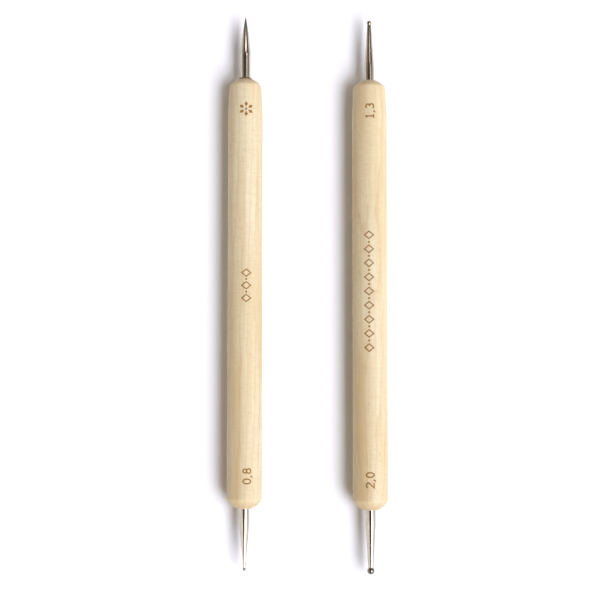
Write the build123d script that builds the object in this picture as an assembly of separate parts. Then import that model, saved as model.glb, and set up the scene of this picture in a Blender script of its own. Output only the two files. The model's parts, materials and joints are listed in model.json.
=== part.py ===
"""Two double-ended embossing styluses, a matched set that lies side by side on a table.

Each stylus is a turned wooden handle with a steel tip glued into a blind hole in either end.
One handle carries a pricking needle and a fine ball, the other a medium and a broad ball.
A ball tip is three pieces: a tapered shank with a cup in its nose, a hard steel ball that sits
in the cup, and the braze that fills the gap between them and rounds off the joint outside.

Lengths are in millimetres and angles in degrees. A tip is drawn upright, with z = 0 at the
end of the handle and +Z out of the wood. A handle is drawn upright too, with its middle at the
origin. The finished set lies along Y, with both handles resting on z = 0 and the origin under
the middle of the set's outline.
"""

import os
from math import asin, cos, hypot, radians, sin, sqrt, tan

from build123d import *

# Handle, turned from a hardwood dowel. The head end carries the needle or the medium ball
HANDLE_LENGTH = 120.0
HANDLE_DIAMETER = 9.7
DOME_MARGIN = 0.65  # how much larger the radius of the domes is than the barrel's
EASING_LENGTH = 10.0  # from the head's end to where the barrel starts to narrow
HEAD_MARGIN = 1.05  # how much larger the radius of the head's dome is than its shoulder's
HEAD_ROUNDING = 0.9  # sanded corner between dome and barrel
FOOT_ROUNDING = 1.5
MOUTH_CHAMFER = 0.15
DRILL_POINT_ANGLE = 118.0

# Steel pin that every tip is turned from, and its seat in the wood
PIN_DIAMETER = 2.8
TANG_LENGTH = 15.0  # the part of the pin inside the handle
TANG_CHAMFER = 0.4
FLAT_LENGTH = 8.0  # two flats key the tang into the glue
FLAT_SETBACK = 4.0  # from the end of the handle to the start of the flats
FLAT_SPAN = 2.3  # from one flat to the other
GLUE_GAP = 0.1  # all round the tang
GLUE_RECESS = 0.35  # from the end of the handle down to the glue
TANG_CLEARANCE = 1.0  # air between the tang and the bottom of the hole

# Ball tips: what the three share, then each one's ball, neck and straight collar
SHANK_REACH = 16.5  # from the end of the handle to the middle of the ball
BRAZE_FILM = 0.05  # between the ball and its cup
BRAZE_LEG = 0.12  # how far the braze climbs up the ball and down the neck
FINE_BALL_DIAMETER = 0.8
FINE_NECK_DIAMETER = 0.56
FINE_COLLAR_LENGTH = 3.5
MEDIUM_BALL_DIAMETER = 1.3
MEDIUM_NECK_DIAMETER = 1.0
MEDIUM_COLLAR_LENGTH = 4.2
BROAD_BALL_DIAMETER = 2.0
BROAD_NECK_DIAMETER = 1.45
BROAD_COLLAR_LENGTH = 3.7

# Pricking needle
NEEDLE_COLLAR_LENGTH = 7.1
POINT_FLARE = 0.3  # length over which the collar opens out to the point
POINT_BASE_DIAMETER = 2.95  # the ground point stands a little proud of the collar
FLANK_LENGTH = 5.2  # first stage of the point, from its base
FLANK_END_DIAMETER = 1.8
BEVEL_LENGTH = 5.3  # second, steeper stage of the point
POINT_TIP_DIAMETER = 0.14

# The set on the table
STYLUS_SPACING = 34.8  # between the axes of the two handles
STYLUS_STAGGER = 0.4  # how far the ball stylus lies nearer the foot end

half_length = HANDLE_LENGTH / 2
handle_radius = HANDLE_DIAMETER / 2
dome_radius = handle_radius + DOME_MARGIN
head_radius = dome_radius - HEAD_MARGIN
pin_radius = PIN_DIAMETER / 2
bore_radius = pin_radius + GLUE_GAP
bore_depth = TANG_LENGTH + TANG_CLEARANCE
bore_bottom = bore_depth + bore_radius / tan(radians(DRILL_POINT_ANGLE / 2))
mouth_radius = bore_radius + MOUTH_CHAMFER
dome_centre = half_length - sqrt(dome_radius**2 - mouth_radius**2)


def turned(*outline):
    """The solid that a closed outline, drawn as (radius, height), sweeps about the Z axis."""
    return revolve(Plane.XZ * make_face([edge for line in outline for edge in line.edges()]), Axis.Z)


def shoulder_height(radius):
    """Where the head's dome, a zone of a ball on the handle's axis, has come out to this radius."""
    return dome_centre + sqrt(dome_radius**2 - radius**2)


def bored_dome(shoulder_radius):
    """The outline of a handle's end, from the bottom of its drilled hole out to the shoulder."""
    mouth = (mouth_radius, half_length)
    bore = Polyline(
        (0, half_length - bore_bottom),
        (bore_radius, half_length - bore_depth),
        (bore_radius, half_length - MOUTH_CHAMFER),
        mouth,
    )
    return [bore, RadiusArc(mouth, (shoulder_radius, shoulder_height(shoulder_radius)), dome_radius)]


def handle():
    """A barrel with domed, rounded ends that are drilled blind, eased down towards the head."""
    head_height = shoulder_height(head_radius)
    foot_height = -shoulder_height(handle_radius)
    foot = [line.mirror(Plane.XZ) for line in bored_dome(handle_radius)]
    barrel = Polyline(
        (head_radius, head_height),
        (handle_radius, half_length - EASING_LENGTH),
        (handle_radius, foot_height),
    )
    core = Line((0, half_length - bore_bottom), (0, bore_bottom - half_length))
    blank = turned(*bored_dome(head_radius), barrel, *foot, core)
    head_corner = blank.edges().sort_by_distance((head_radius, 0, head_height))[0]
    blank = fillet(head_corner, HEAD_ROUNDING)
    foot_corner = blank.edges().sort_by_distance((handle_radius, 0, foot_height))[0]
    return fillet(foot_corner, FOOT_ROUNDING)


def flatted(pin):
    """The pin with two flats ground along its tang, which keep it from turning in the glue."""
    stock = Box(PIN_DIAMETER, PIN_DIAMETER, FLAT_LENGTH)
    ground = stock - Box(FLAT_SPAN, PIN_DIAMETER, FLAT_LENGTH)
    return pin - Pos(0, 0, -FLAT_SETBACK - FLAT_LENGTH / 2) * ground


def tang_outline():
    """The outline of the tang, from the axis up to the end of the handle."""
    return Polyline(
        (0, -TANG_LENGTH),
        (pin_radius - TANG_CHAMFER, -TANG_LENGTH),
        (pin_radius, TANG_CHAMFER - TANG_LENGTH),
        (pin_radius, 0),
    )


def needle():
    """A collar and a point ground in two stages, on a flatted tang."""
    flank_end = NEEDLE_COLLAR_LENGTH + FLANK_LENGTH
    tip = flank_end + BEVEL_LENGTH
    exposed = Polyline(
        (pin_radius, 0),
        (pin_radius, NEEDLE_COLLAR_LENGTH - POINT_FLARE),
        (POINT_BASE_DIAMETER / 2, NEEDLE_COLLAR_LENGTH),
        (FLANK_END_DIAMETER / 2, flank_end),
        (POINT_TIP_DIAMETER / 2, tip),
        (0, tip),
        (0, -TANG_LENGTH),
    )
    return flatted(turned(tang_outline(), exposed))


def glue(tip):
    """The sleeve of glue round a tip's tang, from just inside the mouth down to the tang's chamfer."""
    length = TANG_LENGTH - TANG_CHAMFER - GLUE_RECESS
    plug = Pos(0, 0, -GLUE_RECESS - length / 2) * Cylinder(bore_radius, length)
    return plug - tip


def ball_tip(name, ball_diameter, neck_diameter, collar_length):
    """The shank, ball, braze and glue of one ball tip, by node name."""
    ball_radius = ball_diameter / 2
    neck_radius = neck_diameter / 2
    cup_radius = ball_radius + BRAZE_FILM
    nose = (neck_radius, SHANK_REACH - sqrt(cup_radius**2 - neck_radius**2))
    cup_bottom = (0, SHANK_REACH - cup_radius)
    cup = RadiusArc(nose, cup_bottom, cup_radius)
    side = Polyline((pin_radius, 0), (pin_radius, collar_length), nose)
    shank = flatted(turned(tang_outline(), side, cup, Line(cup_bottom, (0, -TANG_LENGTH))))

    drop = pin_radius - neck_radius
    run = nose[1] - collar_length
    toe = (
        neck_radius + BRAZE_LEG * drop / hypot(drop, run),
        nose[1] - BRAZE_LEG * run / hypot(drop, run),
    )
    climb = asin(neck_radius / ball_radius) + BRAZE_LEG / ball_radius
    crest = (ball_radius * sin(climb), SHANK_REACH - ball_radius * cos(climb))
    ball_bottom = (0, SHANK_REACH - ball_radius)
    braze = turned(
        cup,
        Polyline(nose, toe, crest),
        RadiusArc(crest, ball_bottom, ball_radius),
        Line(ball_bottom, cup_bottom),
    )
    return {
        f"{name}_tip_shank": shank,
        f"{name}_tip_ball": Pos(0, 0, SHANK_REACH) * Sphere(ball_radius),
        f"{name}_tip_braze": braze,
        f"{name}_tip_glue": glue(shank),
    }


def stylus(name, head_tip, foot_tip):
    """One handle with a tip in each end, upright, by node name."""
    at_head = Pos(0, 0, half_length)
    at_foot = Rot(180, 0, 0) * at_head
    pieces = {f"{name}_stylus_handle": handle()}
    pieces |= {node: at_head * piece for node, piece in head_tip.items()}
    pieces |= {node: at_foot * piece for node, piece in foot_tip.items()}
    return pieces


def laid_set():
    """Both styluses lying side by side with their heads towards +Y, by node name."""
    pricker = needle()
    fine = ball_tip("fine", FINE_BALL_DIAMETER, FINE_NECK_DIAMETER, FINE_COLLAR_LENGTH)
    medium = ball_tip("medium", MEDIUM_BALL_DIAMETER, MEDIUM_NECK_DIAMETER, MEDIUM_COLLAR_LENGTH)
    broad = ball_tip("broad", BROAD_BALL_DIAMETER, BROAD_NECK_DIAMETER, BROAD_COLLAR_LENGTH)
    needle_stylus = stylus("needle", {"needle": pricker, "needle_glue": glue(pricker)}, fine)
    ball_stylus = stylus("ball", medium, broad)

    lying = Pos(0, 0, handle_radius) * Rot(-90, 0, 0)
    left = Pos(-STYLUS_SPACING / 2, 0, 0) * lying
    right = Pos(STYLUS_SPACING / 2, -STYLUS_STAGGER, 0) * lying
    pieces = {node: left * piece for node, piece in needle_stylus.items()}
    pieces |= {node: right * piece for node, piece in ball_stylus.items()}
    outline = Compound(children=[piece.moved(Location()) for piece in pieces.values()]).bounding_box()
    centred = Pos(0, -outline.center().Y, 0)
    return {node: centred * piece for node, piece in pieces.items()}


if __name__ == "__main__":
    os.makedirs("parts", exist_ok=True)
    for node, piece in laid_set().items():
        export_step(piece, f"parts/{node}.step")
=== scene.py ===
import json
from math import asin, atan2, cos, hypot, pi, radians, sin, sqrt, tan

import bmesh
import bpy
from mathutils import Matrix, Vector

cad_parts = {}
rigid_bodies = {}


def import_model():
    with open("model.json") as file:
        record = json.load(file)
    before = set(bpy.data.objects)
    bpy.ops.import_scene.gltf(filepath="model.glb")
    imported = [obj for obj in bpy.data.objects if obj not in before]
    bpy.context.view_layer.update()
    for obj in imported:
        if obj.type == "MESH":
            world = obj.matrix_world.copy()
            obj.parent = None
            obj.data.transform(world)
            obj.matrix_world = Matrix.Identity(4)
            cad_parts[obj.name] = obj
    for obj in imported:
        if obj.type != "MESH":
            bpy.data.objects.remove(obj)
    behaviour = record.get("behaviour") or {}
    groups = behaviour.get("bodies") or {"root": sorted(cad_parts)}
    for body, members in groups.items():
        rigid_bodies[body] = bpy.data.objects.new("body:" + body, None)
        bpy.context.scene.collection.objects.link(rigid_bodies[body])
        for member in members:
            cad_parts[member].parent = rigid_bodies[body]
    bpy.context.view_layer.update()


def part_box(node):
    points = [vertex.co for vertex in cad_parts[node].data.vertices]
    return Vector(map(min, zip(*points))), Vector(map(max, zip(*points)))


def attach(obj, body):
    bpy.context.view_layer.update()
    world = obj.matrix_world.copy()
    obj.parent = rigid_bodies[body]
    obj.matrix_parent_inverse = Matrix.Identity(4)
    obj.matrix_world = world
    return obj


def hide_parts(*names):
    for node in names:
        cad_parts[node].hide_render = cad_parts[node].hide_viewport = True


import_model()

# All sizes are in millimetres until a mesh is made. A turned piece is drawn as an outline of
# (radius, height) points, where height runs outward from the middle of the handle for the wood,
# and outward from the end of the handle for a tip.
METRES = 0.001

# Handle
BORE_RADIUS = 1.5
BORE_DEPTH = 16.0
DRILL_POINT_ANGLE = 118.0
MOUTH_CHAMFER = 0.15
DOME_MARGIN = 0.65  # how much larger the radius of the domes is than the barrel's
EASING_LENGTH = 10.0  # from the head's end to where the barrel starts to narrow
EASING_DEPTH = 0.4  # how much narrower its radius gets
EASING_RUN = 8.2  # how much of the easing lies before the head's sanded corner
HEAD_ROUNDING = 0.9  # sanded corner between dome and barrel
FOOT_ROUNDING = 1.5

# Steel pin that every tip is turned from, and the glue round it
PIN_RADIUS = 1.4
TANG_LENGTH = 15.0
TANG_CHAMFER = 0.4
FLAT_SETBACK = 4.0
FLAT_LENGTH = 8.0
FLAT_SPAN = 2.3
GLUE_RECESS = 0.35
MENISCUS_RISE = 0.12  # how far the glue climbs the wood and the steel
# Glue squeezed out round the needle, as points beyond the bore and above the end of the handle
BEAD = ((0.15, 0.0), (0.32, -0.05), (0.3, 0.1), (0.22, 0.24), (0.08, 0.36), (-0.1, 0.42))

# Ball tips: each one's ball and neck diameters and straight collar, then what they share
TIP_SIZES = {"fine": (0.8, 0.56, 3.5), "medium": (1.3, 1.0, 4.2), "broad": (2.0, 1.45, 3.7)}
SHANK_REACH = 16.5
BRAZE_FILM = 0.05
BRAZE_LEG = 0.12
BRAZE_HOLLOW = 0.12  # how deep the fillet is hollowed, as a share of its leg
TAPER_BLEND = 1.2  # half the length over which the collar turns into the taper

# Pricking needle
NEEDLE_COLLAR_LENGTH = 7.1
POINT_FLARE = 0.12
POINT_BASE_RADIUS = 1.475
POINT_LENGTH = 10.5
POINT_TIP_RADIUS = 0.11
POINT_FULLNESS = 1.24  # 1 is a straight cone, more is rounder
TEMPER_START = 8.0  # from the point back to where heat starts to darken the steel
TEMPER_FULL = 1.5  # and to where it is darkest
TEMPER_DEPTH = 0.8

# Burnt marks
BURN_DEPTH = 0.07
BURN_CLEARANCE = 0.4  # how far the cutter stands out of the wood
FIGURE_PITCH = 2.83
COMMA_PLACE = -0.1
FIGURE_STROKE = 0.4
STRIP_WIDTH = 0.2  # flat marks are cut into strips this wide before they are bent round the wood
STRIP_SHIFT = 0.37  # in strips, so that no cut runs along the edge of a mark

# Meshes of the turned pieces
HANDLE_SIDES = 144
STEEL_SIDES = 64
SMALL_SIDES = 48  # balls, braze and glue
RING_STEP = 2.0  # between the rings along the barrel
CRISP_ANGLE = radians(32)  # an edge that turns more than this stays crisp

# Studio
FLOOR_RADIUS = 3.0  # in metres
KEY_LEAN = radians(31)  # how far the main light leans from overhead to the right
KEY_BREADTH = radians(29)
CAMERA_TARGET = (-2.07, -2.1, 4.85)
CAMERA_DISTANCE = 464.0
CAMERA_RISE = radians(85.5)  # above the table, on the side of the foot ends


# Outlines and turned meshes

def mix_points(a, b, share):
    return (a[0] + (b[0] - a[0]) * share, a[1] + (b[1] - a[1]) * share)


def arc(centre, start, stop, steps):
    """Points from start to stop, both included, on the shorter arc round the centre."""
    radius = hypot(start[0] - centre[0], start[1] - centre[1])
    first = atan2(start[1] - centre[1], start[0] - centre[0])
    last = atan2(stop[1] - centre[1], stop[0] - centre[0])
    turns = [first + (last - first) * i / steps for i in range(steps + 1)]
    return [(centre[0] + radius * cos(turn), centre[1] + radius * sin(turn)) for turn in turns]


def smooth_bend(before, corner, after, length, steps):
    """A soft bend that leaves one straight and joins the next.

    It starts and ends this length away from their corner, but short of the middle of each.
    """
    to_before = hypot(before[0] - corner[0], before[1] - corner[1])
    to_after = hypot(after[0] - corner[0], after[1] - corner[1])
    start = mix_points(corner, before, min(0.45, length / to_before))
    stop = mix_points(corner, after, min(0.45, length / to_after))
    points = []
    for i in range(steps + 1):
        share = i / steps
        leaving, joining = mix_points(start, corner, share), mix_points(corner, stop, share)
        points.append(mix_points(leaving, joining, share))
    return points


def new_mesh(name, corners, faces):
    """A mesh from corners in millimetres."""
    mesh = bpy.data.meshes.new(name)
    mesh.from_pydata([Vector(corner) * METRES for corner in corners], [], faces)
    mesh.validate()
    return mesh


def revolve(name, outline, axis, towards_head, sides, flats=None):
    """A closed mesh turned about a line along Y. The outline starts and ends on the axis.

    axis is (x, z, y of height zero). flats is (lowest height, highest height, half span): between
    those heights the mesh is cut back to that half span on both sides.
    """
    axis_x, axis_z, start_y = axis
    sign = 1 if towards_head else -1
    points = []
    for (radius, height), (next_radius, next_height) in zip(outline, outline[1:] + outline[-1:]):
        points.append((radius, height, False))
        if flats:
            for level in flats[:2]:
                low, high = sorted((height, next_height))
                if low < level < high and radius > 0 and next_radius > 0:
                    share = (level - height) / (next_height - height)
                    there = radius + (next_radius - radius) * share
                    rising = next_height > height
                    entering = (level == flats[0]) == rising
                    points.append((there, level, not entering))
                    points.append((there, level, entering))
    if flats:
        inside = [flats[0] <= height <= flats[1] for radius, height, cut in points]
        points = [
            (radius, height, cut or (within and height not in flats[:2]))
            for (radius, height, cut), within in zip(points, inside)
        ]

    corners, faces, rings = [], [], []
    for radius, height, cut in points:
        ring = []
        for i in range(sides if radius > 1e-6 else 1):
            turn = 2 * pi * i / sides
            x, z = radius * sin(turn), radius * cos(turn)
            if cut:
                x = max(-flats[2], min(flats[2], x))
            ring.append(len(corners))
            corners.append((axis_x + x, start_y + sign * height, axis_z + z))
        rings.append(ring)
    for ring, following in zip(rings, rings[1:]):
        for i in range(sides):
            j = (i + 1) % sides
            face = [ring[i % len(ring)], ring[j % len(ring)]]
            face += [following[j % len(following)], following[i % len(following)]]
            face = list(dict.fromkeys(face))
            faces.append(face if towards_head else face[::-1])
    return new_mesh(name, corners, faces)


def revolve_ring(name, outline, axis, towards_head, sides):
    """A closed ring, turned from a closed outline that stays off the axis."""
    axis_x, axis_z, start_y = axis
    sign = 1 if towards_head else -1
    corners, faces = [], []
    for radius, height in outline:
        for i in range(sides):
            turn = 2 * pi * i / sides
            x, z = axis_x + radius * sin(turn), axis_z + radius * cos(turn)
            corners.append((x, start_y + sign * height, z))
    for row in range(len(outline)):
        here, following = row * sides, (row + 1) % len(outline) * sides
        for i in range(sides):
            j = (i + 1) % sides
            face = [here + i, here + j, following + j, following + i]
            faces.append(face if towards_head else face[::-1])
    return new_mesh(name, corners, faces)


# Node helpers, for materials and for geometry

def add_node(tree, kind, inputs=None, **settings):
    made = tree.nodes.new(kind)
    for name, value in settings.items():
        setattr(made, name, value)
    for key, value in (inputs or {}).items():
        if isinstance(value, bpy.types.NodeSocket):
            tree.links.new(value, made.inputs[key])
        else:
            made.inputs[key].default_value = value
    return made


def calculate(tree, operation, first, second=0.0, third=0.0):
    """One step of arithmetic on sockets or numbers."""
    return add_node(
        tree, "ShaderNodeMath", {0: first, 1: second, 2: third}, operation=operation
    ).outputs[0]


def times(tree, product, *factors):
    """The product of sockets or numbers."""
    for factor in factors:
        product = calculate(tree, "MULTIPLY", product, factor)
    return product


def remap(tree, value, low, high, to_low=0.0, to_high=1.0, smooth=False):
    return add_node(
        tree,
        "ShaderNodeMapRange",
        {0: value, 1: low, 2: high, 3: to_low, 4: to_high},
        interpolation_type="SMOOTHSTEP" if smooth else "LINEAR",
    ).outputs[0]


def band(tree, value, low, low_full, high_full, high, outside=0.0):
    """1 between the two full marks, falling smoothly to the outside level."""
    rise = remap(tree, value, low, low_full, outside, 1.0, smooth=True)
    return times(tree, rise, remap(tree, value, high_full, high, 1.0, outside, smooth=True))


def mix_colours(tree, factor, first, second):
    return add_node(
        tree, "ShaderNodeMix", {0: factor, 6: first, 7: second}, data_type="RGBA"
    ).outputs[2]


def noise(tree, where, scale, detail=2.0, roughness=0.5, stretch=(1.0,) * 3, shift=(0.0,) * 3):
    """Noise on coordinates in millimetres. A small stretch draws its grain out along that axis."""
    drawn = add_node(
        tree, "ShaderNodeMapping", {"Vector": where, "Scale": stretch, "Location": shift}
    )
    return add_node(
        tree,
        "ShaderNodeTexNoise",
        {"Vector": drawn.outputs[0], "Scale": scale, "Detail": detail, "Roughness": roughness},
    ).outputs[0]


# Materials

def srgb(red, green, blue):
    """A colour from the values that a paint chart gives, 0 to 255."""
    def straight(value):
        value /= 255
        return value / 12.92 if value <= 0.04045 else ((value + 0.055) / 1.055) ** 2.4
    return (straight(red), straight(green), straight(blue), 1.0)


MAPLE_TAN = srgb(221, 203, 160)
MAPLE_CREAM = srgb(231, 219, 184)
MAPLE_CLOUD = srgb(226, 198, 162)
MAPLE_STREAK = srgb(219, 193, 146)
MAPLE_AMBER = srgb(214, 182, 126)
MAPLE_AMBER_RIM = srgb(190, 152, 100)
MAPLE_LATE_WOOD = srgb(200, 166, 118)
MAPLE_FIBRE = srgb(200, 168, 124)
MAPLE_FLECK = srgb(184, 138, 100)
MAPLE_LATHE_LINE = srgb(206, 178, 134)
END_GRAIN = srgb(208, 182, 140)
END_GRAIN_PORE = srgb(186, 156, 114)
BURNT_BROWN = srgb(140, 98, 38)
BURNT_TAN = srgb(178, 134, 66)
BURNT_FIBRE = srgb(102, 68, 28)
PIN_STEEL = srgb(207, 200, 186)
TEMPERED_STEEL = srgb(104, 97, 84)
BALL_STEEL = srgb(148, 143, 131)
SILVER_BRAZE = srgb(176, 168, 148)
GLUE_BROWN = srgb(92, 66, 38)
GLUE_AMBER = srgb(130, 96, 56)
WARM_FILL = srgb(255, 226, 200)
WHITE = (1.0, 1.0, 1.0, 1.0)
TABLE_WHITE = (0.95, 0.95, 0.95, 1.0)
KEY_WHITE = (0.97, 0.995, 1.12)


def start_material(name, axis):
    """An empty material, its shader, and coordinates in millimetres from a point on the axis."""
    material = bpy.data.materials.new(name)
    material.use_nodes = True
    tree = material.node_tree
    place = add_node(tree, "ShaderNodeTexCoord").outputs["Object"]
    shift = tuple(-value for value in (axis[0], axis[2], axis[1]))
    where = add_node(
        tree,
        "ShaderNodeMapping",
        {"Vector": place, "Location": shift, "Scale": (1 / METRES,) * 3},
    ).outputs[0]
    return material, tree, tree.nodes["Principled BSDF"], where


def coat(tree, shader, colour, roughness, relief, depth):
    """Gives the shader its colour and roughness, and a relief this deep."""
    bump = add_node(tree, "ShaderNodeBump", {"Height": relief, "Distance": depth * METRES})
    tree.links.new(colour, shader.inputs["Base Color"])
    tree.links.new(roughness, shader.inputs["Roughness"])
    tree.links.new(bump.outputs[0], shader.inputs["Normal"])


def maple(name, axis, pith, lean, ring_width, seed, amber):
    """Fine-sanded maple: growth rings about a leaning pith, fibres, ray flecks and lathe lines.

    pith is (x, z) from the handle's axis to the middle of the tree, and lean turns the tree
    against the handle about X and about Z, in degrees. amber is how strongly one broad golden
    growth zone shows on the foot half. Faces that look along the handle show end grain.
    """
    material, tree, shader, where = start_material(name, axis)

    def grain(scale, detail, roughness, stretch, *shift):
        """Noise drawn out along the handle."""
        return noise(tree, where, scale, detail, roughness, (1.0, stretch, 1.0), shift)

    # Growth rings by their distance from the pith, each darkest just before its late wood ends
    sway = grain(0.14, 3.0, 0.55, 0.24, seed, 0.0, 0.0)
    trunk = add_node(
        tree,
        "ShaderNodeMapping",
        {
            "Vector": where,
            "Location": (-pith[0], 0.0, -pith[1]),
            "Rotation": (radians(lean[0]), 0.0, radians(lean[1])),
        },
    ).outputs[0]
    across = add_node(
        tree, "ShaderNodeVectorMath", {0: trunk, 1: (1.0, 0.0, 1.0)}, operation="MULTIPLY"
    ).outputs[0]
    from_pith = add_node(
        tree, "ShaderNodeVectorMath", {0: across}, operation="LENGTH"
    ).outputs["Value"]
    waved = calculate(tree, "MULTIPLY_ADD", sway, 4.4, from_pith)
    ring = calculate(tree, "FRACT", calculate(tree, "DIVIDE", waved, ring_width))
    late = times(tree, calculate(tree, "POWER", ring, 6.0), remap(tree, ring, 0.94, 1.0, 1.0, 0.0))

    tone = grain(0.13, 3.0, 0.55, 0.2, 0.0, seed, 0.0)
    clouds = grain(0.5, 3.0, 0.55, 0.42, seed, seed, seed)
    fibres = grain(3.2, 3.0, 0.6, 0.035, 0.0, 0.0, seed)
    streaks = grain(0.75, 2.0, 0.5, 0.03, seed, seed, 0.0)
    flecks = remap(tree, grain(2.6, 1.0, 0.4, 0.28, seed, 0.0, seed), 0.64, 0.76, smooth=True)
    lathe = noise(tree, where, 1.0, 2.0, 0.7, (0.34, 2.3, 0.34), (0.0, seed, seed))

    # The golden zone, left of the handle's top line, and its darker rim on the side of that line
    sideways, along = add_node(tree, "ShaderNodeSeparateXYZ", {0: where}).outputs[:2]
    edge = calculate(tree, "MULTIPLY_ADD", calculate(tree, "SUBTRACT", sway, 0.5), 5.0, sideways)
    footward = remap(tree, along, -8.0, -24.0, 0.0, amber, smooth=True)
    zone = band(tree, edge, -3.6, -2.6, -1.0, -0.7)
    rim = band(tree, edge, -1.05, -0.8, -0.72, -0.5)
    rim = times(tree, rim, remap(tree, clouds, 0.35, 0.6, 0.3, 0.8))

    normal = add_node(tree, "ShaderNodeTexCoord").outputs["Normal"]
    facing = add_node(tree, "ShaderNodeSeparateXYZ", {0: normal}).outputs[1]
    endwise = remap(tree, calculate(tree, "ABSOLUTE", facing), 0.35, 0.9, smooth=True)
    pores = noise(tree, where, 5.0, 2.0, 0.6, shift=(seed, 0.0, 0.0))
    end_grain = mix_colours(tree, remap(tree, pores, 0.4, 0.65), END_GRAIN, END_GRAIN_PORE)

    colour = mix_colours(tree, remap(tree, tone, 0.34, 0.66), MAPLE_TAN, MAPLE_CREAM)
    for amount, layer in (
        (remap(tree, clouds, 0.5, 0.68, 0.0, 0.3), MAPLE_CLOUD),
        (remap(tree, streaks, 0.46, 0.64, 0.0, 0.5), MAPLE_STREAK),
        (times(tree, zone, footward), MAPLE_AMBER),
        (times(tree, rim, footward), MAPLE_AMBER_RIM),
        (times(tree, late, 0.5), MAPLE_LATE_WOOD),
        (remap(tree, fibres, 0.35, 0.75, 0.0, 0.24), MAPLE_FIBRE),
        (times(tree, flecks, 0.3), MAPLE_FLECK),
        (remap(tree, lathe, 0.48, 0.64, 0.0, 0.22), MAPLE_LATHE_LINE),
        (times(tree, endwise, 0.6), end_grain),
    ):
        colour = mix_colours(tree, amount, colour, layer)

    relief = calculate(tree, "MULTIPLY_ADD", lathe, 1.5, times(tree, fibres, 0.8))
    coat(tree, shader, colour, remap(tree, fibres, 0.3, 0.7, 0.5, 0.62), relief, 0.035)
    shader.inputs["Sheen Weight"].default_value = 0.16
    shader.inputs["Sheen Roughness"].default_value = 0.35
    return material


def burnt_wood(name, axis, seed):
    """The charred floor of a burnt mark, darker and lighter where the beam dwelt."""
    material, tree, shader, where = start_material(name, axis)
    patches = noise(tree, where, 1.4, 2.0, 0.6, shift=(seed, 0.0, 0.0))
    fibres = noise(tree, where, 7.0, 2.0, 0.6, (1.0, 0.3, 1.0), (0.0, seed, 0.0))
    colour = mix_colours(tree, remap(tree, patches, 0.3, 0.7), BURNT_BROWN, BURNT_TAN)
    colour = mix_colours(tree, remap(tree, fibres, 0.4, 0.75, 0.0, 0.5), colour, BURNT_FIBRE)
    coat(tree, shader, colour, remap(tree, fibres, 0.3, 0.7, 0.7, 0.88), fibres, 0.03)
    return material


def turned_steel(name, axis, colour, roughness, groove, temper=None):
    """Polished metal with the faint rings that a lathe leaves. groove is their depth.

    temper is from where to where along the axis heat has darkened it, and how much.
    """
    material, tree, shader, where = start_material(name, axis)
    rings = noise(tree, where, 1.0, 3.0, 0.75, (0.25, 6.0, 0.25))
    smears = noise(tree, where, 1.3, 2.0, 0.5, (1.0, 0.3, 1.0))
    smeared = [0.88 * part for part in colour[:3]] + [1]
    tone = mix_colours(tree, remap(tree, smears, 0.3, 0.7), colour, smeared)
    if temper:
        along = add_node(tree, "ShaderNodeSeparateXYZ", {0: where}).outputs[1]
        heat = remap(tree, along, temper[0], temper[1], 0.0, temper[2], smooth=True)
        tone = mix_colours(tree, heat, tone, TEMPERED_STEEL)
    dull = remap(tree, rings, 0.3, 0.7, roughness, roughness + 0.06)
    coat(tree, shader, tone, dull, rings, groove)
    shader.inputs["Metallic"].default_value = 1.0
    return material


def set_glue(name, axis):
    """Amber adhesive, glossy where it is smooth."""
    material, tree, shader, where = start_material(name, axis)
    clouds = noise(tree, where, 2.0)
    colour = mix_colours(tree, remap(tree, clouds, 0.3, 0.7), GLUE_BROWN, GLUE_AMBER)
    coat(tree, shader, colour, remap(tree, clouds, 0.3, 0.7, 0.18, 0.32), clouds, 0.01)
    return material


# Turned handle

def handle_end(half_length, barrel_radius, shoulder_radius, rounding):
    """The outline of one end, from the drilled hole's point out to the straight barrel."""
    dome_radius = barrel_radius + DOME_MARGIN
    mouth = (BORE_RADIUS + MOUTH_CHAMFER, half_length)
    centre = (0.0, half_length - sqrt(dome_radius**2 - mouth[0] ** 2))
    shoulder = (shoulder_radius, centre[1] + sqrt(dome_radius**2 - shoulder_radius**2))
    straight = (barrel_radius, half_length - EASING_LENGTH)

    # The sanded corner touches the side and the dome, so its middle lies where a line inside the
    # side by the rounding meets the dome shrunk by as much
    run = hypot(straight[0] - shoulder[0], straight[1] - shoulder[1])
    along = ((straight[0] - shoulder[0]) / run, (straight[1] - shoulder[1]) / run)
    outward = (-along[1], along[0])
    start = (shoulder[0] - rounding * outward[0], shoulder[1] - rounding * outward[1] - centre[1])
    reach = dome_radius - rounding
    slope = start[0] * along[0] + start[1] * along[1]
    root = sqrt(slope**2 - (start[0] ** 2 + start[1] ** 2 - reach**2))
    step = -slope - root
    if step < 0:
        step = -slope + root
    corner = (start[0] + step * along[0], start[1] + step * along[1] + centre[1])
    on_dome = mix_points(centre, corner, dome_radius / reach)
    on_side = (corner[0] + rounding * outward[0], corner[1] + rounding * outward[1])

    outline = [
        (0.0, half_length - BORE_DEPTH - BORE_RADIUS / tan(radians(DRILL_POINT_ANGLE / 2))),
        (BORE_RADIUS, half_length - BORE_DEPTH),
        (BORE_RADIUS, half_length - MOUTH_CHAMFER),
    ]
    outline += arc(centre, mouth, on_dome, 14)
    outline += arc(corner, on_dome, on_side, 10)[1:]
    steps = max(1, round((on_side[1] - straight[1]) / RING_STEP))
    outline += [mix_points(on_side, straight, (i + 1) / steps) for i in range(steps)]
    return outline


def handle_outline(half_length, barrel_radius):
    shoulder_radius = barrel_radius - EASING_DEPTH
    head = handle_end(half_length, barrel_radius, shoulder_radius, HEAD_ROUNDING)
    foot = handle_end(half_length, barrel_radius, barrel_radius, FOOT_ROUNDING)
    steps = round((head[-1][1] + foot[-1][1]) / RING_STEP)
    low, high = (foot[-1][0], -foot[-1][1]), head[-1]
    barrel = [mix_points(low, high, i / steps) for i in range(1, steps)]
    return [(radius, -height) for radius, height in foot] + barrel + head[::-1]


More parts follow.
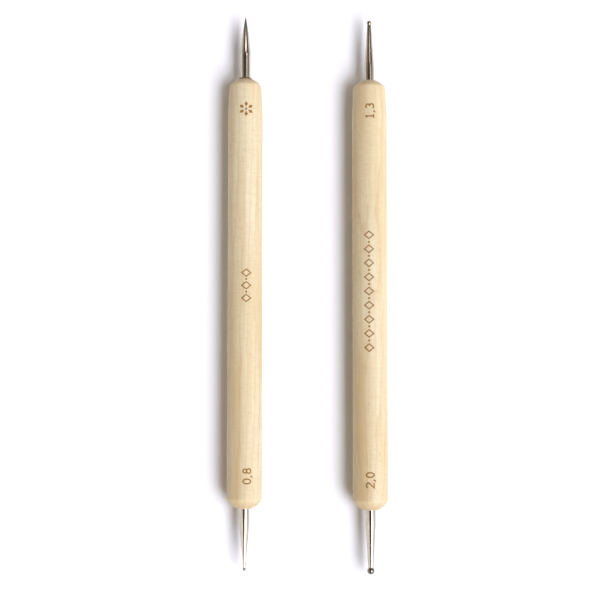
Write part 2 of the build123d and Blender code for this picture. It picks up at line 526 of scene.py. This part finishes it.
# Burnt marks

def ellipse(centre_x, centre_y, half_width, half_height, start, stop, steps):
    """Points of an arc, counted anticlockwise in degrees from the right."""
    turns = [radians(start + (stop - start) * i / steps) for i in range(steps + 1)]
    return [
        (centre_x + half_width * cos(turn), centre_y + half_height * sin(turn)) for turn in turns
    ]


# Middle lines of the burnt figures, in millimetres from the middle of each
FIGURES = {
    "0": [ellipse(0, 0, 0.62, 1.08, 0, 360, 44)],
    "1": [[(0.04, -1.08), (0.04, 1.08), (-0.44, 0.76)], [(-0.52, -1.08), (0.58, -1.08)]],
    "2": [ellipse(0, 0.5, 0.62, 0.58, 168, -28, 22) + [(-0.64, -1.08), (0.7, -1.08)]],
    "3": [
        ellipse(-0.02, 0.55, 0.58, 0.53, 148, -90, 24),
        ellipse(-0.02, -0.52, 0.66, 0.56, 90, -150, 26),
    ],
    "8": [ellipse(0, 0.56, 0.5, 0.52, 0, 360, 34), ellipse(0, -0.5, 0.6, 0.58, 0, 360, 38)],
    ",": [[(0.18, -0.98), (-0.2, -1.58)]],
}


def flat_stroke(points, width):
    """A flat band of this width along a line. A line that ends where it starts is closed."""
    closed = hypot(points[0][0] - points[-1][0], points[0][1] - points[-1][1]) < 1e-6
    points = points[:-1] if closed else points
    corners = []
    for i, (x, y) in enumerate(points):
        before = points[i - 1] if i or closed else None
        after = points[(i + 1) % len(points)] if i + 1 < len(points) or closed else None
        ways = []
        for a, b in ((before, (x, y)), ((x, y), after)):
            if a and b:
                run = hypot(b[0] - a[0], b[1] - a[1])
                ways.append(((b[0] - a[0]) / run, (b[1] - a[1]) / run))
        way = (sum(part[0] for part in ways), sum(part[1] for part in ways))
        run = hypot(*way)
        across = (-way[1] / run, way[0] / run)
        reach = width / 2 / max(0.5, across[0] * -ways[0][1] + across[1] * ways[0][0])
        corners.append((x + across[0] * reach, y + across[1] * reach, 0.0))
        corners.append((x - across[0] * reach, y - across[1] * reach, 0.0))
    faces = []
    for i in range(len(points) if closed else len(points) - 1):
        j = (i + 1) % len(points)
        faces.append((2 * i + 1, 2 * j + 1, 2 * j, 2 * i))
    mesh = bpy.data.meshes.new("stroke")
    mesh.from_pydata(corners, [], faces)
    return mesh


def size_number(text):
    """The strokes of a size number such as 1,3, which reads towards the head, about its middle."""
    strokes = []
    for figure, place in zip(text, (-FIGURE_PITCH / 2, COMMA_PLACE, FIGURE_PITCH / 2)):
        for line in FIGURES[figure]:
            strokes.append(flat_stroke([(x + place, y) for x, y in line], FIGURE_STROKE))
    return strokes


def start_motif(name, **sizes):
    """An empty geometry tree with these sizes as named inputs, and the inputs' sockets."""
    tree = bpy.data.node_groups.new(name, "GeometryNodeTree")
    for label, value in sizes.items():
        kind = "NodeSocketInt" if isinstance(value, int) else "NodeSocketFloat"
        label = label.replace("_", " ").capitalize()
        socket = tree.interface.new_socket(label, in_out="INPUT", socket_type=kind)
        socket.default_value = value
    tree.interface.new_socket("Material", in_out="INPUT", socket_type="NodeSocketMaterial")
    tree.interface.new_socket("Geometry", in_out="OUTPUT", socket_type="NodeSocketGeometry")
    return tree, add_node(tree, "NodeGroupInput").outputs


def circle(tree, corners, radius):
    inputs = {"Resolution": corners, "Radius": radius}
    return add_node(tree, "GeometryNodeCurvePrimitiveCircle", inputs).outputs[0]


def scaled(tree, shape, length, width):
    size = add_node(tree, "ShaderNodeCombineXYZ", {0: length, 1: width, 2: 1.0}).outputs[0]
    return add_node(tree, "GeometryNodeTransform", {"Geometry": shape, "Scale": size}).outputs[0]


def filled(tree, outline):
    return add_node(tree, "GeometryNodeFillCurve", {0: outline}).outputs[0]


def join(tree, *parts):
    joined = add_node(tree, "GeometryNodeJoinGeometry")
    for part in parts:
        tree.links.new(part, joined.inputs[0])
    return joined.outputs[0]


def finish_motif(tree, given, *parts):
    """Ends the tree with the parts as plain faces that have their material."""
    real = add_node(tree, "GeometryNodeRealizeInstances", {0: join(tree, *parts)})
    painted = add_node(
        tree,
        "GeometryNodeSetMaterial",
        {"Geometry": real.outputs[0], "Material": given["Material"]},
    )
    tree.links.new(painted.outputs[0], add_node(tree, "NodeGroupOutput").inputs[0])
    return tree


def lozenge_row():
    """Open lozenges in a row, with a dot between each two, in millimetres."""
    tree, given = start_motif(
        "lozenge_row",
        count=3,
        pitch=3.9,
        lozenge_length=2.5,
        lozenge_width=3.0,
        stroke_share=0.66,
        dot_radius=0.3,
    )
    outer = circle(tree, 4, 0.5)
    inner = scaled(tree, outer, given["Stroke share"], given["Stroke share"])
    both = join(tree, outer, inner)
    lozenge = filled(tree, scaled(tree, both, given["Lozenge length"], given["Lozenge width"]))
    dot = filled(tree, circle(tree, 12, given["Dot radius"]))

    pitch = add_node(tree, "ShaderNodeCombineXYZ", {0: given["Pitch"]}).outputs[0]
    half_pitch = add_node(
        tree, "ShaderNodeCombineXYZ", {0: times(tree, given["Pitch"], 0.5)}
    ).outputs[0]
    places = add_node(tree, "GeometryNodeMeshLine", {"Count": given["Count"], "Offset": pitch})
    gaps = add_node(
        tree,
        "GeometryNodeMeshLine",
        {
            "Count": calculate(tree, "SUBTRACT", given["Count"], 1.0),
            "Offset": pitch,
            "Start Location": half_pitch,
        },
    )
    lozenges, dots = (
        add_node(
            tree, "GeometryNodeInstanceOnPoints", {"Points": line.outputs[0], "Instance": shape}
        ).outputs[0]
        for line, shape in ((places, lozenge), (gaps, dot))
    )
    return finish_motif(tree, given, lozenges, dots)


def petal_ring():
    """Solid lozenges set like petals round a dot, in millimetres."""
    tree, given = start_motif(
        "rosette", petals=6, petal_length=1.5, petal_width=1.0, ring_radius=1.4, dot_radius=0.32
    )
    outline = scaled(tree, circle(tree, 4, 0.5), given["Petal length"], given["Petal width"])
    ring = add_node(
        tree,
        "GeometryNodeMeshCircle",
        {"Vertices": given["Petals"], "Radius": given["Ring radius"]},
    ).outputs[0]
    place = add_node(tree, "GeometryNodeInputPosition").outputs[0]
    outward = add_node(
        tree, "FunctionNodeAlignRotationToVector", {"Vector": place}, axis="X"
    ).outputs[0]
    petals = add_node(
        tree,
        "GeometryNodeInstanceOnPoints",
        {"Points": ring, "Instance": filled(tree, outline), "Rotation": outward},
    ).outputs[0]
    dot = filled(tree, circle(tree, 14, given["Dot radius"]))
    return finish_motif(tree, given, petals, dot)


def evaluated_mesh(piece):
    """What the piece's modifiers make, as a plain mesh."""
    bpy.context.view_layer.update()
    graph = bpy.context.evaluated_depsgraph_get()
    return bpy.data.meshes.new_from_object(piece.evaluated_get(graph))


def flat_motif(tree, material, **sizes):
    """What the tree makes with these sizes, as a plain mesh about its own middle."""
    holder = bpy.data.objects.new("motif", bpy.data.meshes.new("motif"))
    bpy.context.scene.collection.objects.link(holder)
    modifier = holder.modifiers.new("row", "NODES")
    modifier.node_group = tree
    inputs = [item for item in tree.interface.items_tree if item.in_out == "INPUT"]
    named = {item.name: item.identifier for item in inputs}
    for name, value in sizes.items():
        modifier[named[name.replace("_", " ").capitalize()]] = value
    modifier[named["Material"]] = material
    mesh = evaluated_mesh(holder)
    bpy.data.objects.remove(holder)
    along = [vertex.co.x for vertex in mesh.vertices]
    middle = (min(along) + max(along)) / 2
    for vertex in mesh.vertices:
        vertex.co.x -= middle
    return mesh


def bent_cutter(flat, axis, from_head, offset, half_length, barrel_radius):
    """Flat faces, thickened and bent round the barrel as a closed cutter.

    from_head is the distance of their middle from the head end, and offset is how far it lies
    to the right of the barrel's top line.
    """
    shape = bmesh.new()
    shape.from_mesh(flat)
    bmesh.ops.remove_doubles(shape, verts=shape.verts, dist=1e-4)
    tall = max(abs(vertex.co.y) for vertex in shape.verts)
    count = int(tall / STRIP_WIDTH)
    for i in range(-count, count + 1):
        bmesh.ops.bisect_plane(
            shape,
            geom=shape.verts[:] + shape.edges[:] + shape.faces[:],
            dist=1e-5,
            plane_co=(0, (i + STRIP_SHIFT) * STRIP_WIDTH, 0),
            plane_no=(0, 1, 0),
        )
    shape.verts.index_update()
    shape.verts.ensure_lookup_table()
    shape.normal_update()
    count = len(shape.verts)
    flat_corners = [(vertex.co.x, vertex.co.y) for vertex in shape.verts]
    faces = []
    for face in shape.faces:
        around = [vertex.index for vertex in face.verts]
        around = around if face.normal.z > 0 else around[::-1]
        faces += [[count + i for i in around], around[::-1]]
        for a, b in zip(around, around[1:] + around[:1]):
            if len(shape.edges.get((shape.verts[a], shape.verts[b])).link_faces) == 1:
                faces.append([a, b, count + b, count + a])
    shape.free()

    corners = []
    for lift in (-BURN_DEPTH, BURN_CLEARANCE):
        for along, up in flat_corners:
            height = half_length - from_head + along
            eased = max(0.0, height - half_length + EASING_LENGTH) / EASING_RUN
            surface = barrel_radius - EASING_DEPTH * min(1.0, eased)
            turn = (offset - up) / surface
            radius = surface + lift
            x, z = axis[0] + radius * sin(turn), axis[1] + radius * cos(turn)
            corners.append((x, axis[2] + height, z))
    mesh = bpy.data.meshes.new("cutter")
    mesh.from_pydata([Vector(corner) * METRES for corner in corners], [], faces)
    return mesh


def burn(mesh, cutters, wood, burnt):
    """The handle's mesh with the cutters' shapes sunk into it and charred."""
    blank = bpy.data.objects.new(mesh.name, mesh)
    bpy.context.scene.collection.objects.link(blank)
    mesh.materials.append(wood)
    mesh.materials.append(burnt)
    tools = bpy.data.collections.new(mesh.name + "_cutters")
    for i, cutter in enumerate(cutters):
        cutter.materials.clear()
        cutter.materials.append(wood)
        cutter.materials.append(burnt)
        for polygon in cutter.polygons:
            polygon.material_index = 1
        tools.objects.link(bpy.data.objects.new(f"{mesh.name}_cutter_{i}", cutter))
    bpy.context.scene.collection.children.link(tools)
    sink = blank.modifiers.new("burn", "BOOLEAN")
    sink.operation = "DIFFERENCE"
    sink.operand_type = "COLLECTION"
    sink.collection = tools
    sink.solver = "MANIFOLD"
    made = evaluated_mesh(blank)
    for tool in list(tools.objects):
        bpy.data.objects.remove(tool)
    bpy.data.collections.remove(tools)
    bpy.data.objects.remove(blank)
    return made


def marks_on(body, length, burnt):
    """The burnt marks of one stylus, whose handle has this length.

    Each is its flat faces, the distance of their middle from the head end, and how far that lies
    to the right of the handle's top line.
    """
    if body == "needle_stylus":
        short_row = flat_motif(lozenges, burnt, count=3, pitch=3.5, lozenge_length=2.4)
        return [
            (size_number("0,8"), length - 9.06, 0.8),
            ([short_row], 58.55, 0.5),
            ([flat_motif(rosette, burnt)], 9.25, 0.36),
        ]
    return [
        (size_number("1,3"), 9.52, -0.09),
        (size_number("2,0"), length - 8.38, -0.28),
        ([flat_motif(lozenges, burnt, count=9)], 59.75, -0.44),
    ]


# Steel tips

def tang_outline():
    """The outline of a tang, from the axis up to the end of the handle."""
    return [
        (0.0, -TANG_LENGTH),
        (PIN_RADIUS - TANG_CHAMFER, -TANG_LENGTH),
        (PIN_RADIUS, TANG_CHAMFER - TANG_LENGTH),
        (PIN_RADIUS, 0.0),
    ]


def needle_outline():
    """The outline of the needle, with a polished, slightly full point."""
    base = NEEDLE_COLLAR_LENGTH
    tip = base + POINT_LENGTH
    outline = tang_outline()
    flare = [(PIN_RADIUS, base - POINT_FLARE), (POINT_BASE_RADIUS, base)]
    outline += smooth_bend(outline[-1], flare[0], flare[1], POINT_FLARE / 3, 4)
    steps = 40
    for i in range(steps + 1):
        share = i / steps
        left = 1 - share**POINT_FULLNESS
        radius = POINT_TIP_RADIUS + (POINT_BASE_RADIUS - POINT_TIP_RADIUS) * left
        outline.append((radius, base + POINT_LENGTH * share - POINT_TIP_RADIUS * (i == steps)))
    outline += arc((0.0, tip - POINT_TIP_RADIUS), outline[-1], (0.0, tip), 5)[1:]
    return outline


def ball_tip_outlines(ball_diameter, neck_diameter, collar_length):
    """Outlines of shank, ball and braze."""
    ball_radius = ball_diameter / 2
    neck_radius = neck_diameter / 2
    cup_radius = ball_radius + BRAZE_FILM
    nose = (neck_radius, SHANK_REACH - sqrt(cup_radius**2 - neck_radius**2))
    middle = (0.0, SHANK_REACH)
    cup = arc(middle, nose, (0.0, SHANK_REACH - cup_radius), 8)
    collar = (PIN_RADIUS, collar_length)
    shank = tang_outline()
    shank += smooth_bend(shank[-1], collar, nose, TAPER_BLEND, 8)
    shank += [mix_points(shank[-1], nose, share) for share in (0.25, 0.5, 0.75)] + cup

    bottom = (0.0, SHANK_REACH - ball_radius)
    side, top = (ball_radius, SHANK_REACH), (0.0, SHANK_REACH + ball_radius)
    ball = arc(middle, bottom, side, 16) + arc(middle, side, top, 16)[1:]

    slope = hypot(PIN_RADIUS - neck_radius, nose[1] - collar_length)
    toe = (
        neck_radius + BRAZE_LEG * (PIN_RADIUS - neck_radius) / slope,
        nose[1] - BRAZE_LEG * (nose[1] - collar_length) / slope,
    )
    climb = asin(neck_radius / ball_radius) + BRAZE_LEG / ball_radius
    crest = (ball_radius * sin(climb), SHANK_REACH - ball_radius * cos(climb))
    hollow = mix_points(toe, crest, 0.5)
    hollow = (hollow[0] - BRAZE_LEG * BRAZE_HOLLOW, hollow[1])
    braze = cup[::-1] + [toe, hollow, crest] + arc(middle, crest, bottom, 10)[1:]
    return shank, ball, braze


def glue_outline(squeezed_out):
    """A sleeve round the tang, as a closed ring.

    Its top is hollow, or a bead that stands proud of the mouth.
    """
    bottom = TANG_CHAMFER - TANG_LENGTH
    sleeve = [(PIN_RADIUS, bottom), (BORE_RADIUS, bottom)]
    if squeezed_out:
        sleeve.append((BORE_RADIUS, -MOUTH_CHAMFER))
        return sleeve + [(BORE_RADIUS + along, height) for along, height in BEAD]
    middle = (PIN_RADIUS + BORE_RADIUS) / 2
    quarter = (BORE_RADIUS - PIN_RADIUS) / 4
    return sleeve + [
        (BORE_RADIUS, -GLUE_RECESS + MENISCUS_RISE),
        (middle + quarter, -GLUE_RECESS + MENISCUS_RISE / 4),
        (middle, -GLUE_RECESS),
        (middle - quarter, -GLUE_RECESS + MENISCUS_RISE / 4),
        (PIN_RADIUS, -GLUE_RECESS + MENISCUS_RISE),
    ]


def tip_meshes(tip, axis, towards_head):
    """The meshes of a tip and its glue with their slots, by node name."""
    flats = (-FLAT_SETBACK - FLAT_LENGTH, -FLAT_SETBACK, FLAT_SPAN / 2)
    place = (axis, towards_head)
    if tip == "needle":
        mesh = revolve("needle", needle_outline(), *place, STEEL_SIDES, flats)
        made = {"needle": (mesh, "polished_steel")}
        glue_node = "needle_glue"
    else:
        shank, ball, braze = ball_tip_outlines(*TIP_SIZES[tip])
        mesh = revolve(tip + "_tip_shank", shank, *place, STEEL_SIDES, flats)
        made = {tip + "_tip_shank": (mesh, "polished_steel")}
        mesh = revolve(tip + "_tip_ball", ball, *place, SMALL_SIDES)
        made[tip + "_tip_ball"] = (mesh, "ball_steel")
        mesh = revolve(tip + "_tip_braze", braze, *place, SMALL_SIDES)
        made[tip + "_tip_braze"] = (mesh, "braze")
        glue_node = tip + "_tip_glue"
    sleeve = glue_outline(squeezed_out=tip == "needle")
    made[glue_node] = (revolve_ring(glue_node, sleeve, *place, SMALL_SIDES), "glue")
    return made


# The two styluses

def make_stylus(body, head, foot, seed, pith, lean, amber):
    """All pieces of one stylus, over its CAD nodes. head and foot name the tips in its ends."""
    handle_node = body + "_handle"
    low, high = (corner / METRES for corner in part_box(handle_node))
    axis = ((low.x + high.x) / 2, (low.z + high.z) / 2)
    centre = (*axis, (high.y + low.y) / 2)
    length = high.y - low.y
    barrel_radius = (high.x - low.x) / 2

    point = length / 2 + NEEDLE_COLLAR_LENGTH + POINT_LENGTH
    temper = (point - TEMPER_START, point - TEMPER_FULL, TEMPER_DEPTH)
    wood = maple(body + "_maple", centre, pith, lean, 1.9, seed, amber)
    burnt = burnt_wood(body + "_burnt", centre, seed)
    finishes = {
        "polished_steel": turned_steel(body + "_steel", centre, PIN_STEEL, 0.12, 0.002, temper),
        "ball_steel": turned_steel(body + "_ball_steel", centre, BALL_STEEL, 0.06, 0.0005),
        "braze": turned_steel(body + "_braze", centre, SILVER_BRAZE, 0.22, 0.001),
        "glue": set_glue(body + "_glue", centre),
    }

    outline = handle_outline(length / 2, barrel_radius)
    blank = revolve(handle_node + "_blank", outline, centre, True, HANDLE_SIDES)
    cutters = [
        bent_cutter(flat, centre, from_head, offset, length / 2, barrel_radius)
        for flats, from_head, offset in marks_on(body, length, burnt)
        for flat in flats
    ]
    made = {handle_node: (burn(blank, cutters, wood, burnt), "handle_wood")}
    made |= tip_meshes(head, (*axis, high.y), True)
    made |= tip_meshes(foot, (*axis, low.y), False)

    for node, (mesh, slot) in made.items():
        if slot in finishes:
            mesh.materials.append(finishes[slot])
        mesh.shade_smooth()
        mesh.set_sharp_from_angle(angle=CRISP_ANGLE)
        piece = bpy.data.objects.new(node + "_finished", mesh)
        bpy.context.scene.collection.objects.link(piece)
        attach(piece, body)
        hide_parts(node)


lozenges = lozenge_row()
rosette = petal_ring()
make_stylus("needle_stylus", "needle", "fine", 3.0, (38.0, -9.0), (0.6, 0.8), 0.4)
make_stylus("ball_stylus", "medium", "broad", 11.0, (6.0, -34.0), (2.2, -1.2), 0.5)


# Studio

def add_floor():
    """A matt white table, round and wide."""
    sides = 96
    turns = [2 * pi * i / sides for i in range(sides)]
    around = [(FLOOR_RADIUS * cos(turn), FLOOR_RADIUS * sin(turn), 0) for turn in turns]
    mesh = bpy.data.meshes.new("floor")
    mesh.from_pydata(around, [], [list(range(sides))])
    floor = bpy.data.objects.new("floor", mesh)
    bpy.context.scene.collection.objects.link(floor)
    material = bpy.data.materials.new("white_table")
    material.use_nodes = True
    shader = material.node_tree.nodes["Principled BSDF"]
    shader.inputs["Base Color"].default_value = TABLE_WHITE
    shader.inputs["Roughness"].default_value = 0.9
    shader.inputs["Specular IOR Level"].default_value = 0.0
    mesh.materials.append(material)


def add_world():
    """A dark studio by direction, with bright surfaces round the set and a white horizon.

    lean is how far a direction leans from overhead to the right, and along is how far it points
    towards the head ends, from -1 to 1.
    """
    world = bpy.data.worlds.new("studio")
    bpy.context.scene.world = world
    world.use_nodes = True
    tree = world.node_tree
    background = tree.nodes["Background"]
    way = add_node(tree, "ShaderNodeTexCoord").outputs["Generated"]
    across, along, up = add_node(tree, "ShaderNodeSeparateXYZ", {0: way}).outputs
    lean = calculate(tree, "ARCTAN2", across, calculate(tree, "MAXIMUM", up, 0.001))

    right_cloth = times(
        tree,
        remap(tree, lean, radians(12), radians(16), smooth=True),
        remap(tree, lean, radians(56), radians(76), 1.0, 0.6, smooth=True),
        band(tree, along, -0.34, -0.24, -0.1, 0.04, 0.04),
    )
    left_card = times(
        tree,
        remap(tree, lean, radians(-35), radians(-28), 1.0, 0.0, smooth=True),
        band(tree, along, -0.5, -0.36, -0.06, 0.03),
    )
    head_left = times(
        tree,
        remap(tree, lean, radians(-50), radians(-20), 0.35, 0.05, smooth=True),
        band(tree, along, 0.1, 0.2, 0.6, 0.72),
    )
    head_right = times(
        tree,
        band(tree, lean, radians(20), radians(27), radians(43), radians(50)),
        band(tree, along, 0.1, 0.17, 0.26, 0.35),
    )
    head_strip = times(
        tree,
        band(tree, along, 0.365, 0.4, 0.46, 0.56),
        band(tree, lean, radians(-6), radians(2), radians(22), radians(30)),
    )
    level = 0.02
    for surface, brightness in (
        (right_cloth, 1.8),
        (left_card, 1.2),
        (calculate(tree, "ADD", head_left, head_right), 1.0),
        (head_strip, 3.0),
    ):
        level = calculate(tree, "MULTIPLY_ADD", surface, brightness, level)
    horizon = remap(tree, up, sin(radians(9)), sin(radians(12)), 1.0, 0.0, smooth=True)
    level = add_node(
        tree, "ShaderNodeMix", {0: horizon, 2: level, 3: 1.0}, data_type="FLOAT"
    ).outputs[0]
    tree.links.new(level, background.inputs["Strength"])
    tint = mix_colours(tree, remap(tree, level, 0.0, 1.7), WARM_FILL, WHITE)
    tree.links.new(tint, background.inputs["Color"])


def add_key():
    """A long softbox high on the right that reaches towards the foot, as two broad suns."""
    for name, towards_foot, energy in (("head", 8, 1.2), ("foot", 30, 1.95)):
        lamp = bpy.data.lights.new("key_" + name, "SUN")
        lamp.angle = KEY_BREADTH
        lamp.energy = energy
        lamp.color = KEY_WHITE
        key = bpy.data.objects.new("key_" + name, lamp)
        bpy.context.scene.collection.objects.link(key)
        turn = radians(towards_foot)
        to_light = Vector((cos(turn) * sin(KEY_LEAN), -sin(turn), cos(turn) * cos(KEY_LEAN)))
        key.rotation_euler = to_light.to_track_quat("Z", "Y").to_euler()


def add_camera():
    """Almost straight down, as in the photograph."""
    lens = bpy.data.cameras.new("camera")
    lens.sensor_width = 36
    lens.lens = 100
    camera = bpy.data.objects.new("camera", lens)
    bpy.context.scene.collection.objects.link(camera)
    away = Vector((0, -cos(CAMERA_RISE), sin(CAMERA_RISE)))
    camera.location = Vector(CAMERA_TARGET) * METRES + CAMERA_DISTANCE * METRES * away
    camera.rotation_euler = (pi / 2 - CAMERA_RISE, 0, 0)
    bpy.context.scene.camera = camera


add_floor()
add_world()
add_key()
add_camera()
bpy.context.scene.view_settings.view_transform = "Standard"
